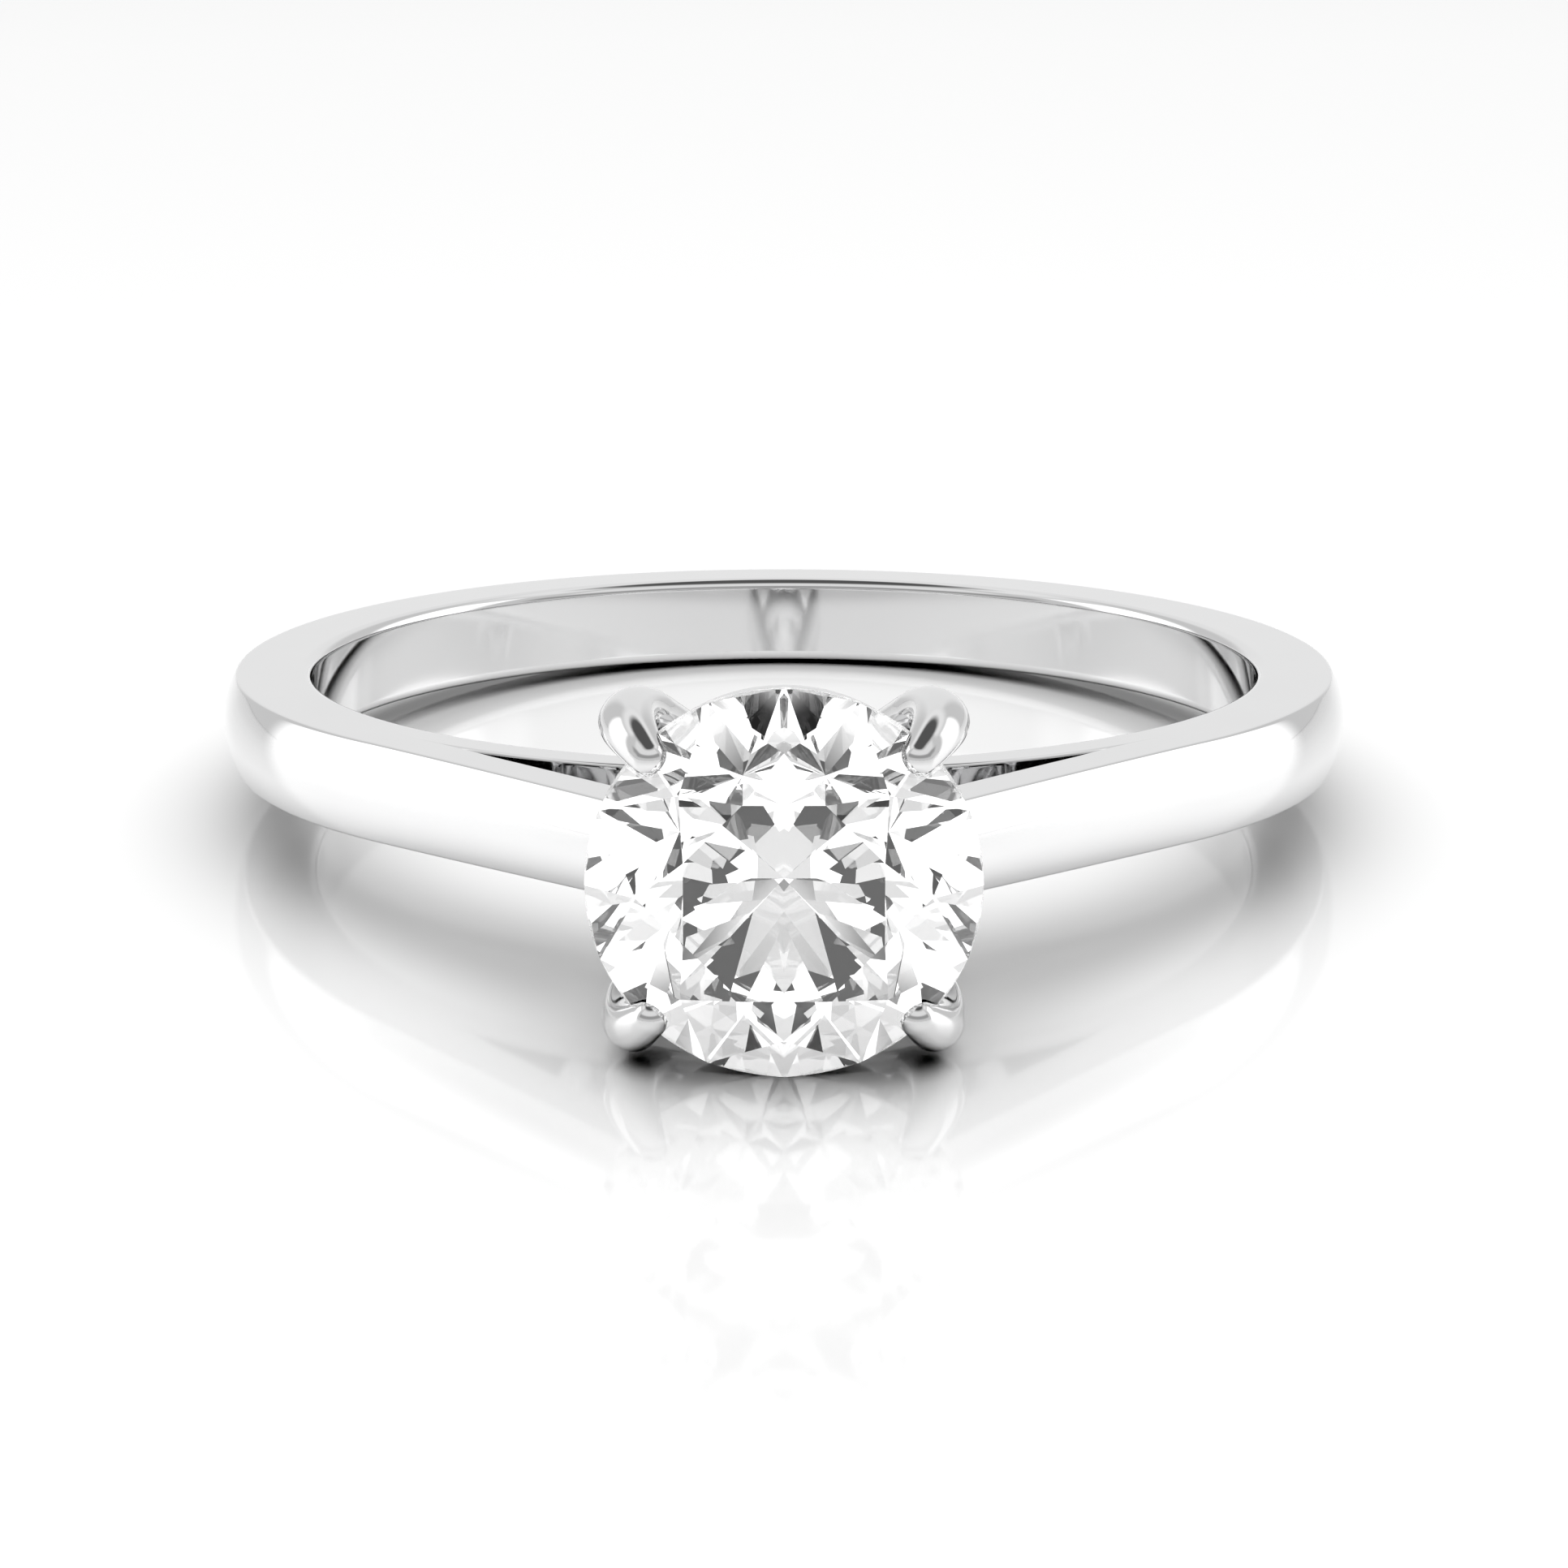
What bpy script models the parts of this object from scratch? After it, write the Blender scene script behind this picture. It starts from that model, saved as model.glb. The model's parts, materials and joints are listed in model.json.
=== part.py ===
"""Engagement ring: a round brilliant in a four-claw head on a cathedral band.

The ring lies on a table, on the back of its band and on the rim of its stone.
Its design frame is the empty "ring_pose": the finger axis is local Z, the head
points along local -Y, and X runs across the finger.  The empty "head_frame"
turns that so that the head's own axis is Z, with the table of the stone on top.
"""
import math

import bmesh
import bpy
from mathutils import Vector

MM = 0.001

# Fit between pieces that are soldered or set tight on the real ring.
FIT = 0.02 * MM

# Band: finger bore, section and the thin rail that closes the circle under the head.
BORE_RADIUS = 8.65 * MM
BAND_HALF_WIDTH = 0.853 * MM
BAND_OUTER_RADIUS = 10.07 * MM
BAND_OUTER_SHIFT = 0.10 * MM
BAND_DOME = 0.18 * MM
BORE_EDGE_ROUND = 0.20 * MM
OUTER_EDGE_ROUND = 0.10 * MM
RAIL_OUTER_RADIUS = 9.40 * MM
SPLIT_HALF_ANGLE = math.radians(44.0)
BAND_SEGMENTS = 96

# Cathedral shoulders: straight bars that leave the band at a tangent.
SHOULDER_THICKNESS = 0.83 * MM
SHOULDER_LENGTH = 6.9 * MM
SHOULDER_TAPER = 0.09 * MM

# Centre stone: a 57-facet round brilliant, sizes as fractions where a cutter states them so.
STONE_RADIUS = 3.04 * MM
GIRDLE_TOP_HEIGHT = 13.72 * MM
GIRDLE_THICKNESS = 0.17 * MM
CROWN_HEIGHT = 1.17 * MM
TABLE_APOTHEM = 1.51 * MM
STAR_LENGTH = 0.47
PAVILION_ANGLE = math.radians(40.9)
LOWER_HALF_LENGTH = 0.78
GIRDLE_STEPS_PER_HALF = 3

# Crown points that follow from those sizes: the table's corners and the tips of its stars.
EIGHTH = math.radians(45.0)
TABLE_RADIUS = TABLE_APOTHEM / math.cos(EIGHTH / 2.0)
CROWN_SLOPE = CROWN_HEIGHT / (STONE_RADIUS - TABLE_RADIUS)
STAR_RADIUS = TABLE_APOTHEM + STAR_LENGTH * (STONE_RADIUS - TABLE_APOTHEM)
STAR_HEIGHT = CROWN_HEIGHT - (STAR_RADIUS * math.cos(EIGHTH / 2.0) - TABLE_RADIUS) * CROWN_SLOPE

# Gallery rail: the bearer wire under the girdle, which ties the claws together.
GALLERY_RADIUS = 2.46 * MM
GALLERY_WIRE_RADIUS = 0.36 * MM
GALLERY_HEIGHT = 12.30 * MM
GALLERY_SEGMENTS = 64

# Claws: (radius from the head's axis, height above the finger's axis).
CLAW_FOOT_RADIUS = 0.85 * MM
CLAW_FOOT_HEIGHT = 9.15 * MM
CLAW_REACH = 3.38 * MM
CLAW_BEND_HEIGHT = 12.85 * MM
CLAW_BEND_RADIUS = 1.40 * MM
CLAW_BEND_START = math.radians(-36.0)
CLAW_BEND_END = math.radians(50.0)
CLAW_FOOT_WIRE_RADIUS = 0.34 * MM
CLAW_WIRE_RADIUS = 0.45 * MM
CLAW_TIP_RADIUS = 0.30 * MM
CLAWS = {"claw_upper_right": 45.0, "claw_upper_left": 135.0,
         "claw_lower_left": 225.0, "claw_lower_right": 315.0}

# Fineness of round sections.
ROUND_STEPS = 2
DOME_STEPS = 6
WIRE_SIDES = 12
CLAW_BEND_STEPS = 9
CLAW_CAP_STEPS = 4
CLAW_CAP_FLAT = 0.4

# Edges sharper than these stay crisp; points closer than the last are one point.
METAL_SHARP_ANGLE = math.radians(32.0)
FACET_SHARP_ANGLE = math.radians(7.0)
SAME_POINT = 1e-7


def clear_objects():
    """Start from an empty file."""
    for existing in list(bpy.data.objects):
        bpy.data.objects.remove(existing, do_unlink=True)


def make_material(name, colour, roughness, metallic, ior=1.45, transmission=0.0):
    """One Principled material in a single finish."""
    material = bpy.data.materials.new(name)
    material.use_nodes = True
    shader = material.node_tree.nodes["Principled BSDF"]
    shader.inputs["Base Color"].default_value = (*colour, 1.0)
    shader.inputs["Roughness"].default_value = roughness
    shader.inputs["Metallic"].default_value = metallic
    shader.inputs["IOR"].default_value = ior
    shader.inputs["Transmission Weight"].default_value = transmission
    return material


def add_object(name, mesh, parent, material):
    """Put a mesh in the scene under its parent, shaded smooth across its soft edges."""
    ob = bpy.data.objects.new(name, mesh)
    bpy.context.collection.objects.link(ob)
    ob.parent = parent
    mesh.materials.clear()
    mesh.materials.append(material)
    mesh.shade_smooth()
    mesh.set_sharp_from_angle(angle=METAL_SHARP_ANGLE)
    return ob


def mesh_from(bm, name):
    """Turn a finished bmesh into a mesh with its faces pointing out."""
    bmesh.ops.recalc_face_normals(bm, faces=bm.faces)
    mesh = bpy.data.meshes.new(name)
    bm.to_mesh(mesh)
    bm.free()
    return mesh


def add_cutter(name, mesh, parent):
    """A shape that only cuts others, kept out of sight."""
    ob = bpy.data.objects.new(name, mesh)
    bpy.context.collection.objects.link(ob)
    ob.parent = parent
    ob.hide_render = True
    ob.display_type = "WIRE"
    return ob


def cut(ob, cutter):
    """Take the cutter's volume out of an object."""
    modifier = ob.modifiers.new("cut_" + cutter.name, "BOOLEAN")
    modifier.operation = "DIFFERENCE"
    modifier.solver = "EXACT"
    modifier.object = cutter


def arc(centre, radius, start_degrees, end_degrees, steps):
    """Points along an arc, both ends included."""
    points = []
    for step in range(steps + 1):
        angle = math.radians(start_degrees + (end_degrees - start_degrees) * step / steps)
        points.append((centre[0] + radius * math.cos(angle), centre[1] + radius * math.sin(angle)))
    return points


def domed_side(edge_radius):
    """Outer side of the section, bottom to top: small rounds and a shallow dome between them."""
    half = BAND_HALF_WIDTH
    small = OUTER_EDGE_ROUND
    lower = arc((edge_radius - small, small - half), small, -90.0, 0.0, ROUND_STEPS)
    upper = arc((edge_radius - small, half - small), small, 0.0, 90.0, ROUND_STEPS)
    dome = []
    for step in range(1, DOME_STEPS):
        across = 2.0 * step / DOME_STEPS - 1.0
        dome.append((edge_radius + BAND_DOME * (1.0 - across ** 2), across * (half - small)))
    return lower + dome + upper


def band_section():
    """Closed outline of the band in (radius, Z): rounded bore edges inside, domed side outside."""
    half = BAND_HALF_WIDTH
    soft = BORE_EDGE_ROUND
    upper = arc((BORE_RADIUS + soft, half - soft), soft, 90.0, 180.0, ROUND_STEPS)
    lower = arc((BORE_RADIUS + soft, soft - half), soft, 180.0, 270.0, ROUND_STEPS)
    return domed_side(BAND_OUTER_RADIUS) + upper + lower


def outline_loop(bm, points):
    """A closed loop of edges through points."""
    verts = [bm.verts.new(point) for point in points]
    return [bm.edges.new((verts[i], verts[(i + 1) % len(verts)])) for i in range(len(verts))]


def spin_ring(bm, points, axis, segments):
    """Turn a closed outline once round an axis through the origin."""
    edges = outline_loop(bm, points)
    verts = list({vert for edge in edges for vert in edge.verts})
    bmesh.ops.spin(bm, geom=verts + edges, cent=(0, 0, 0), axis=axis,
                   angle=2.0 * math.pi, steps=segments, use_merge=True)
    bmesh.ops.remove_doubles(bm, verts=bm.verts, dist=SAME_POINT)


def front_relief(parent):
    """Cutter that thins the front quarter of the band down to the finger rail."""
    half = 2.0 * BAND_HALF_WIDTH
    far = BAND_OUTER_RADIUS + 2.0 * BAND_DOME + OUTER_EDGE_ROUND
    section = [(RAIL_OUTER_RADIUS, -half), (far, -half), (far, half), (RAIL_OUTER_RADIUS, half)]
    start = -0.5 * math.pi - SPLIT_HALF_ANGLE
    bm = bmesh.new()
    edges = outline_loop(bm, [(r * math.cos(start), r * math.sin(start), z) for r, z in section])
    face = bm.faces.new([edge.verts[0] for edge in edges])
    bmesh.ops.spin(bm, geom=[face], cent=(0, 0, 0), axis=(0, 0, 1), angle=2.0 * SPLIT_HALF_ANGLE,
                   steps=BAND_SEGMENTS // 4)
    return add_cutter("front_relief", mesh_from(bm, "front_relief"), parent)


def make_shank(parent, metal):
    """The band: a full circle, thick round the back and thin where the rail passes the head."""
    bm = bmesh.new()
    spin_ring(bm, [(radius, 0.0, z) for radius, z in band_section()], (0, 0, 1), BAND_SEGMENTS)
    inner_limit = BORE_RADIUS + 1.5 * BORE_EDGE_ROUND
    for vert in bm.verts:
        if vert.co.xy.length > inner_limit:
            vert.co.y -= BAND_OUTER_SHIFT
    shank = add_object("shank", mesh_from(bm, "shank"), parent, metal)
    cut(shank, front_relief(parent))
    return shank


def rail_clearance(parent):
    """Cutter that follows the finger rail, for the pieces that stand on it."""
    bm = bmesh.new()
    bmesh.ops.create_cone(bm, cap_ends=True, segments=BAND_SEGMENTS, depth=6.0 * BAND_HALF_WIDTH,
                          radius1=RAIL_OUTER_RADIUS + FIT, radius2=RAIL_OUTER_RADIUS + FIT)
    return add_cutter("rail_clearance", mesh_from(bm, "rail_clearance"), parent)


def make_shoulder(name, side, parent, metal):
    """One cathedral shoulder.  side is -1 on the left and +1 on the right."""
    outward = Vector((side * math.sin(SPLIT_HALF_ANGLE), -math.cos(SPLIT_HALF_ANGLE), 0.0))
    forward = Vector((-side * math.cos(SPLIT_HALF_ANGLE), -math.sin(SPLIT_HALF_ANGLE), 0.0))
    centre = Vector((0.0, -BAND_OUTER_SHIFT, 0.0))
    start = FIT - centre.dot(forward)
    under = BAND_OUTER_RADIUS - SHOULDER_THICKNESS
    half = BAND_HALF_WIDTH
    section = domed_side(BAND_OUTER_RADIUS) + [(under, half), (under, -half)]
    bm = bmesh.new()
    points = [centre + outward * r + forward * start + Vector((0.0, 0.0, z)) for r, z in section]
    edges = outline_loop(bm, points)
    face = bm.faces.new([edge.verts[0] for edge in edges])
    grown = bmesh.ops.extrude_face_region(bm, geom=[face])
    moved = [item for item in grown["geom"] if isinstance(item, bmesh.types.BMVert)]
    bmesh.ops.translate(bm, verts=moved, vec=forward * (SHOULDER_LENGTH - FIT))
    narrowing = 1.0 - SHOULDER_TAPER / BAND_HALF_WIDTH
    for vert in moved:
        vert.co.z *= narrowing
    return add_object(name, mesh_from(bm, name), parent, metal)


def girdle_point(angle, height):
    """A point on the stone's rim."""
    return Vector((STONE_RADIUS * math.cos(angle), STONE_RADIUS * math.sin(angle), height))


def scallop(plane_points, start, end, steps):
    """Rim points between two angles, at the height where a facet's plane meets the rim."""
    origin, second, third = plane_points
    normal = (second - origin).cross(third - origin)
    points = []
    for step in range(1, steps):
        angle = start + (end - start) * step / steps
        rim = girdle_point(angle, 0.0)
        drop = normal.x * (rim.x - origin.x) + normal.y * (rim.y - origin.y)
        points.append(girdle_point(angle, origin.z - drop / normal.z))
    return points


def brilliant_mesh():
    """Round brilliant with its girdle's top edge at Z = 0 and its table facing +Z."""
    pavilion_slope = math.tan(PAVILION_ANGLE)
    culet = Vector((0.0, 0.0, -GIRDLE_THICKNESS - STONE_RADIUS * pavilion_slope))
    half_radius = STONE_RADIUS * (1.0 - LOWER_HALF_LENGTH)
    half_height = culet.z + half_radius * math.cos(EIGHTH / 2.0) * pavilion_slope

    def level_point(radius, angle, height):
        return Vector((radius * math.cos(angle), radius * math.sin(angle), height))

    faces = [[level_point(TABLE_RADIUS, (k + 0.5) * EIGHTH, CROWN_HEIGHT) for k in range(8)]]
    upper_rim = []
    lower_rim = []
    for k in range(8):
        middle = k * EIGHTH
        before = middle - EIGHTH / 2.0
        after = middle + EIGHTH / 2.0
        star = level_point(STAR_RADIUS, middle, STAR_HEIGHT)
        corner_before = level_point(TABLE_RADIUS, before, CROWN_HEIGHT)
        corner_after = level_point(TABLE_RADIUS, after, CROWN_HEIGHT)
        next_star = level_point(STAR_RADIUS, middle + EIGHTH, STAR_HEIGHT)
        low = level_point(half_radius, middle, half_height)
        next_low = level_point(half_radius, middle + EIGHTH, half_height)
        faces.append([corner_before, star, corner_after])
        faces.append([corner_after, star, girdle_point(after, 0.0), next_star])
        faces.append([culet, next_low, girdle_point(after, -GIRDLE_THICKNESS), low])
        for first, last in ((before, middle), (middle, after)):
            top_ends = girdle_point(first, 0.0), girdle_point(last, 0.0)
            top = scallop((star, *top_ends), first, last, GIRDLE_STEPS_PER_HALF)
            faces.append([star, top_ends[0], *top, top_ends[1]])
            upper_rim += [top_ends[0], *top]
            low_ends = [rim.copy() for rim in top_ends]
            for rim in low_ends:
                rim.z -= GIRDLE_THICKNESS
            bottom = scallop((low, *low_ends), first, last, GIRDLE_STEPS_PER_HALF)
            faces.append([low, low_ends[0], *bottom, low_ends[1]])
            lower_rim += [low_ends[0], *bottom]
    count = len(upper_rim)
    for i in range(count):
        j = (i + 1) % count
        faces.append([upper_rim[i], lower_rim[i], lower_rim[j], upper_rim[j]])

    bm = bmesh.new()
    for corners in faces:
        bm.faces.new([bm.verts.new(corner) for corner in corners])
    bmesh.ops.remove_doubles(bm, verts=bm.verts, dist=SAME_POINT)
    return mesh_from(bm, "centre_stone")


def make_stone(parent, diamond):
    """The stone, with flat facets, set at its height in the head."""
    stone = add_object("centre_stone", brilliant_mesh(), parent, diamond)
    stone.data.set_sharp_from_angle(angle=FACET_SHARP_ANGLE)
    stone.location.z = GIRDLE_TOP_HEIGHT
    return stone


def stone_clearance(parent):
    """Cutter for the seat that the stone's rim and slopes need in each claw."""
    rim = STONE_RADIUS + FIT
    top = CROWN_HEIGHT + FIT
    bottom = -GIRDLE_THICKNESS - 2.0 * FIT
    culet = bottom - rim * math.tan(PAVILION_ANGLE)
    profile = [(0.0, top), (TABLE_RADIUS + FIT, top), (STAR_RADIUS + FIT, STAR_HEIGHT + FIT),
               (rim, 2.0 * FIT), (rim, bottom), (0.0, culet)]
    bm = bmesh.new()
    verts = [bm.verts.new((radius, 0.0, z)) for radius, z in profile]
    edges = [bm.edges.new(pair) for pair in zip(verts, verts[1:])]
    bmesh.ops.spin(bm, geom=verts + edges, cent=(0, 0, 0), axis=(0, 0, 1), angle=2.0 * math.pi,
                   steps=BAND_SEGMENTS // 2, use_merge=True)
    bmesh.ops.remove_doubles(bm, verts=bm.verts, dist=SAME_POINT)
    cutter = add_cutter("stone_clearance", mesh_from(bm, "stone_clearance"), parent)
    cutter.location.z = GIRDLE_TOP_HEIGHT
    return cutter


def claw_path():
    """Centreline of a claw in (radius, height), with the wire's radius at each point."""
    bend_centre = (CLAW_REACH - CLAW_BEND_RADIUS, CLAW_BEND_HEIGHT)
    bend = arc(bend_centre, CLAW_BEND_RADIUS, math.degrees(CLAW_BEND_START),
               math.degrees(CLAW_BEND_END), CLAW_BEND_STEPS)
    path = [(CLAW_FOOT_RADIUS, CLAW_FOOT_HEIGHT, CLAW_FOOT_WIRE_RADIUS)]
    for step, (radius, height) in enumerate(bend):
        taper = (step / CLAW_BEND_STEPS) ** 2
        wire = CLAW_WIRE_RADIUS + (CLAW_TIP_RADIUS - CLAW_WIRE_RADIUS) * taper
        path.append((radius, height, wire))
    end_radius, end_height = bend[-1]
    for step in range(1, CLAW_CAP_STEPS + 1):
        turn = 0.5 * math.pi * step / (CLAW_CAP_STEPS + CLAW_CAP_FLAT)
        reach = CLAW_TIP_RADIUS * math.sin(turn)
        path.append((end_radius - reach * math.sin(CLAW_BEND_END),
                     end_height + reach * math.cos(CLAW_BEND_END),
                     CLAW_TIP_RADIUS * math.cos(turn)))
    return path


def wire_mesh(name, path, extra):
    """A round wire along a path in the XZ plane, thicker by extra all round."""
    curve = bpy.data.curves.new(name, "CURVE")
    curve.dimensions = "3D"
    curve.bevel_depth = 1.0
    curve.bevel_resolution = WIRE_SIDES // 4 - 1
    curve.use_fill_caps = True
    spline = curve.splines.new("POLY")
    spline.points.add(len(path) - 1)
    for point, (x, z, radius) in zip(spline.points, path):
        point.co = (x, 0.0, z, 1.0)
        point.radius = radius + extra
    carrier = bpy.data.objects.new(name, curve)
    mesh = bpy.data.meshes.new_from_object(carrier)
    bpy.data.objects.remove(carrier, do_unlink=True)
    bm = bmesh.new()
    bm.from_mesh(mesh)
    bpy.data.meshes.remove(mesh)
    bmesh.ops.remove_doubles(bm, verts=bm.verts, dist=SAME_POINT)
    return mesh_from(bm, name)


def make_claws(parent, metal, rail_cutter, stone_cutter):
    """Four claws round the stone, each cut to its seat and to the rail that it stands on."""
    for name, degrees in CLAWS.items():
        claw = add_object(name, wire_mesh(name, claw_path(), 0.0), parent, metal)
        claw.rotation_euler.z = math.radians(degrees)
        cut(claw, rail_cutter)
        cut(claw, stone_cutter)


def gallery_circle(extra):
    """Section of the gallery rail's wire in the XZ plane."""
    points = arc((GALLERY_RADIUS, GALLERY_HEIGHT), GALLERY_WIRE_RADIUS + extra, 0.0, 360.0, WIRE_SIDES)
    return [(radius, 0.0, height) for radius, height in points[:-1]]


def make_gallery_rail(parent, metal):
    """Bearer ring under the girdle, let into by the four claws."""
    bm = bmesh.new()
    spin_ring(bm, gallery_circle(0.0), (0, 0, 1), GALLERY_SEGMENTS)
    rail = add_object("gallery_rail", mesh_from(bm, "gallery_rail"), parent, metal)
    for name, degrees in CLAWS.items():
        notch = add_cutter("notch_" + name, wire_mesh("notch_" + name, claw_path(), FIT), parent)
        notch.rotation_euler.z = math.radians(degrees)
        cut(rail, notch)
    return rail


def gallery_clearance(parent):
    """Cutter that lets the shoulders' ends cup the gallery rail."""
    bm = bmesh.new()
    spin_ring(bm, gallery_circle(FIT), (0, 0, 1), GALLERY_SEGMENTS)
    return add_cutter("gallery_clearance", mesh_from(bm, "gallery_clearance"), parent)


def rest_tilt():
    """Angle that lays both the stone's rim and the back of the band on the table."""
    back = BAND_OUTER_RADIUS - BAND_OUTER_SHIFT - OUTER_EDGE_ROUND
    front = GIRDLE_TOP_HEIGHT - GIRDLE_THICKNESS
    run = back + front
    drop = STONE_RADIUS - (BAND_HALF_WIDTH - OUTER_EDGE_ROUND)
    return math.atan2(drop, run) - math.asin(OUTER_EDGE_ROUND / math.hypot(run, drop))


def main():
    clear_objects()
    metal = make_material("polished_white_gold", (0.86, 0.86, 0.87), 0.06, 1.0)
    diamond = make_material("diamond", (1.0, 1.0, 1.0), 0.0, 0.0, ior=2.42, transmission=1.0)

    tilt = rest_tilt()
    rim_back = GIRDLE_TOP_HEIGHT - GIRDLE_THICKNESS
    lift = STONE_RADIUS * math.cos(tilt) - rim_back * math.sin(tilt)
    front = (GIRDLE_TOP_HEIGHT + CROWN_HEIGHT) * math.cos(tilt) + TABLE_APOTHEM * math.sin(tilt)
    back = (BAND_OUTER_RADIUS + BAND_DOME - BAND_OUTER_SHIFT) * math.cos(tilt)
    pose = bpy.data.objects.new("ring_pose", None)
    bpy.context.collection.objects.link(pose)
    pose.rotation_euler.x = -tilt
    pose.location = (0.0, 0.5 * (front - back), lift)

    head = bpy.data.objects.new("head_frame", None)
    bpy.context.collection.objects.link(head)
    head.parent = pose
    head.rotation_euler.x = 0.5 * math.pi

    make_shank(pose, metal)
    rail_cutter = rail_clearance(pose)
    gallery_cutter = gallery_clearance(head)
    for name, side in (("shoulder_left", -1.0), ("shoulder_right", 1.0)):
        shoulder = make_shoulder(name, side, pose, metal)
        cut(shoulder, rail_cutter)
        cut(shoulder, gallery_cutter)
    make_stone(head, diamond)
    make_gallery_rail(head, metal)
    make_claws(head, metal, rail_cutter, stone_clearance(head))
    bpy.context.view_layer.update()


main()
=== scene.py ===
"""Engagement ring: polished metal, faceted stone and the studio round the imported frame."""
import json
import math

import bmesh
import bpy
from mathutils import Matrix, Vector


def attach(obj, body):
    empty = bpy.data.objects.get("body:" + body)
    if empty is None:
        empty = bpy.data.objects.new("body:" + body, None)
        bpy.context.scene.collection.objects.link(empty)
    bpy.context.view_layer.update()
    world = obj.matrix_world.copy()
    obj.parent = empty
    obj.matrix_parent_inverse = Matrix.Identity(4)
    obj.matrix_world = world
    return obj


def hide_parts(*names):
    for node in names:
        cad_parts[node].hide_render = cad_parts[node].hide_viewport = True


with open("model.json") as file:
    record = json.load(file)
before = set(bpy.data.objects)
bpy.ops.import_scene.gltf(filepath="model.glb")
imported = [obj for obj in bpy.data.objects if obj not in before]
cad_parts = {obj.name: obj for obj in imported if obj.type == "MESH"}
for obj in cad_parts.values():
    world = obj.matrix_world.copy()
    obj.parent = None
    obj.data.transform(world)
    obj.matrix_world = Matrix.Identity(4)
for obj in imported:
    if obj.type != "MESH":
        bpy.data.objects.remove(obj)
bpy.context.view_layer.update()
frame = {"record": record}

MM = 0.001
RIGHT_ANGLE = math.radians(90.0)

# Driving dimensions of the ring, as in its CAD.
BORE_RADIUS = 8.65 * MM
BAND_HALF_WIDTH = 0.853 * MM
BAND_OUTER_RADIUS = 10.07 * MM
BAND_OUTER_SHIFT = 0.10 * MM
BAND_DOME = 0.18 * MM
BORE_EDGE_ROUND = 0.20 * MM
OUTER_EDGE_ROUND = 0.10 * MM
RAIL_OUTER_RADIUS = 9.40 * MM
RAIL_EDGE_ROUND = 0.06 * MM
SPLIT_HALF_ANGLE = math.radians(44.0)

# The plane that ends the band passes beside the bore's centre; the rail starts this far beyond it.
SPLIT_LEAN = math.radians(0.6)

SHOULDER_THICKNESS = 0.83 * MM
SHOULDER_LENGTH = 6.9 * MM
SHOULDER_TAPER = 0.09 * MM
SHOULDER_EDGE_ROUND = 0.05 * MM

# The bar narrows slowly at first. Its inner edges are square beside the rail and rounded beyond it.
SHOULDER_TAPER_POWER = 1.4
SHOULDER_FREE_START = 1.5 * MM
SHOULDER_FREE_BLEND = 0.8 * MM

STONE_RADIUS = 3.04 * MM
GIRDLE_TOP_HEIGHT = 13.72 * MM
GIRDLE_THICKNESS = 0.17 * MM
CROWN_HEIGHT = 1.17 * MM
TABLE_APOTHEM = 1.51 * MM
STAR_LENGTH = 0.47
PAVILION_ANGLE = math.radians(40.9)
LOWER_HALF_LENGTH = 0.78
GIRDLE_STEPS_PER_HALF = 8

GALLERY_RADIUS = 2.46 * MM
GALLERY_WIRE_RADIUS = 0.36 * MM
GALLERY_HEIGHT = 12.30 * MM

CLAW_FOOT_RADIUS = 0.85 * MM
CLAW_FOOT_HEIGHT = 9.15 * MM
CLAW_REACH = 3.38 * MM
CLAW_BEND_HEIGHT = 12.85 * MM
CLAW_BEND_RADIUS = 1.40 * MM
CLAW_BEND_START = math.radians(-36.0)
CLAW_BEND_END = math.radians(50.0)
CLAW_FOOT_WIRE_RADIUS = 0.34 * MM
CLAW_WIRE_RADIUS = 0.45 * MM
CLAW_TIP_RADIUS = 0.30 * MM

# A claw's leg is this many times as wide as it is thick. Its seat clears the stone by SEAT_GAP.
CLAW_LEG_WIDTH = 1.25
SEAT_GAP = 0.006 * MM

CLAWS = {"claw_upper_right": 45.0, "claw_upper_left": 135.0,
         "claw_lower_left": 225.0, "claw_lower_right": 315.0}

# Crown points that follow from those sizes. The facets repeat eight times round the stone.
MAIN_FACETS = 8
EIGHTH = math.radians(45.0)
TABLE_RADIUS = TABLE_APOTHEM / math.cos(EIGHTH / 2.0)
CROWN_SLOPE = CROWN_HEIGHT / (STONE_RADIUS - TABLE_RADIUS)
STAR_RADIUS = TABLE_APOTHEM + STAR_LENGTH * (STONE_RADIUS - TABLE_APOTHEM)
STAR_HEIGHT = CROWN_HEIGHT - (STAR_RADIUS * math.cos(EIGHTH / 2.0) - TABLE_RADIUS) * CROWN_SLOPE

# The ring's own frame comes from the record: the finger axis from the band's flat side and the
# centre of the bore from the finger hole.
record = frame["record"]
upper_side = next(m for m in record["mounts"] if m["name"] == "band_side_upper")
finger_axis = Vector(upper_side["axis"])
hole_low, hole_high = (Vector(corner) for corner in record["physics"]["openings"][0]["box_m"])
tilt = math.atan2(finger_axis.y, finger_axis.z)
RING = Matrix.Translation((hole_low + hole_high) / 2.0) @ Matrix.Rotation(-tilt, 4, "X")
HEAD = RING @ Matrix.Rotation(RIGHT_ANGLE, 4, "X")

# Camera, in the ring's frame.
CAMERA_BACK = 73.603 * MM
CAMERA_UP = 15.072 * MM
CAMERA_PITCH = math.radians(12.697)
LENS = 93.17
SENSOR = 36.0
CLIP_START = 0.001
CLIP_END = 10.0

# Light bounces many times inside the stone before it leaves. A path with more mirror reflections than
# MIRROR_BOUNCES ends dark, even a bright one: a limit of the rendering, used for the stone's contrast.
LIGHT_BOUNCES = 28
MIRROR_BOUNCES = 5

METAL_SHARP_ANGLE = math.radians(30.0)
FACET_SHARP_ANGLE = math.radians(4.0)

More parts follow.
